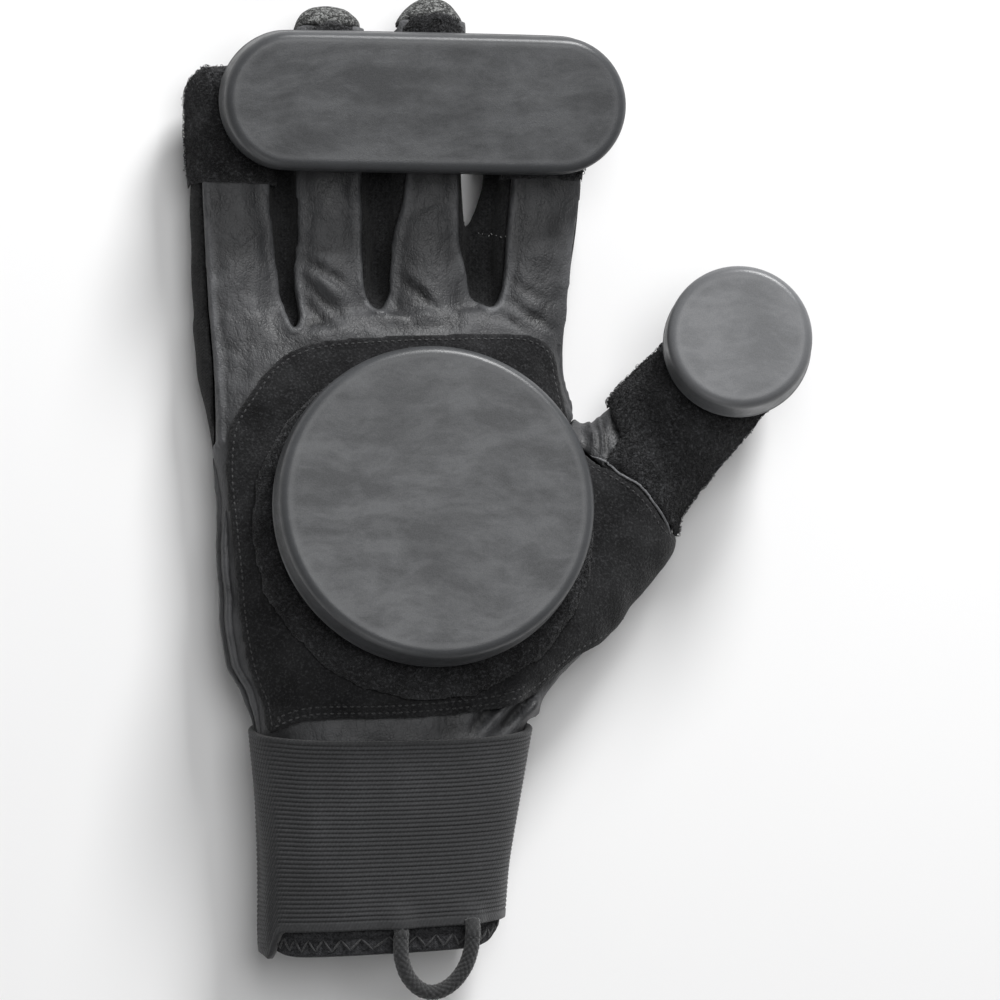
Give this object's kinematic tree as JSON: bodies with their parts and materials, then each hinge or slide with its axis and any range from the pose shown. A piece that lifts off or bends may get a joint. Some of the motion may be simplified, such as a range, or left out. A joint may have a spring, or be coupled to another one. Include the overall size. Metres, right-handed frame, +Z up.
{
  "type": "longboard slide glove",
  "caption": "Right-hand leather slide glove with a suede palm, hook-on round, bar and thumb pucks, a ribbed elastic cuff and a cord pull loop.",
  "frame": {"origin": "under the middle of the glove without its cord, on the surface that it lies on", "axes": "+Y towards the fingertips, +X towards the thumb, +Z up out of the palm and the pucks"},
  "size_m": [0.1756, 0.2825, 0.0542],
  "materials": {
    "leather": "soft satin grain leather, dark grey, creased",
    "suede": "matt black suede with stitched edge",
    "loop_pile": "fuzzy loop pile, matt black",
    "back_fabric": "speckled grey knit",
    "side_fabric": "dark knit",
    "hook_backing": "black hook tape",
    "puck_plastic": "satin moulded plastic with light scuffs",
    "elastic": "ribbed woven elastic",
    "lining": "knit lining with zigzag stitch",
    "cord": "twisted cord"
  },
  "bodies": {
    "root": {"palm_leather": "leather", "back_fabric": "back_fabric", "fourchette_pinky_ring": "side_fabric", "fourchette_ring_middle": "side_fabric", "fourchette_middle_index": "side_fabric", "thumb_leather": "leather", "palm_patch": "suede", "palm_loop": "loop_pile", "pinky_loop": "loop_pile", "ring_loop": "loop_pile", "middle_loop": "loop_pile", "index_loop": "loop_pile", "thumb_loop": "loop_pile", "palm_hook": "hook_backing", "palm_puck": "puck_plastic", "finger_hook": "hook_backing", "finger_puck": "puck_plastic", "thumb_hook": "hook_backing", "thumb_puck": "puck_plastic", "cuff_elastic": "elastic", "cuff_hem": "lining", "pull_loop": "cord"}
  },
  "joints": []
}
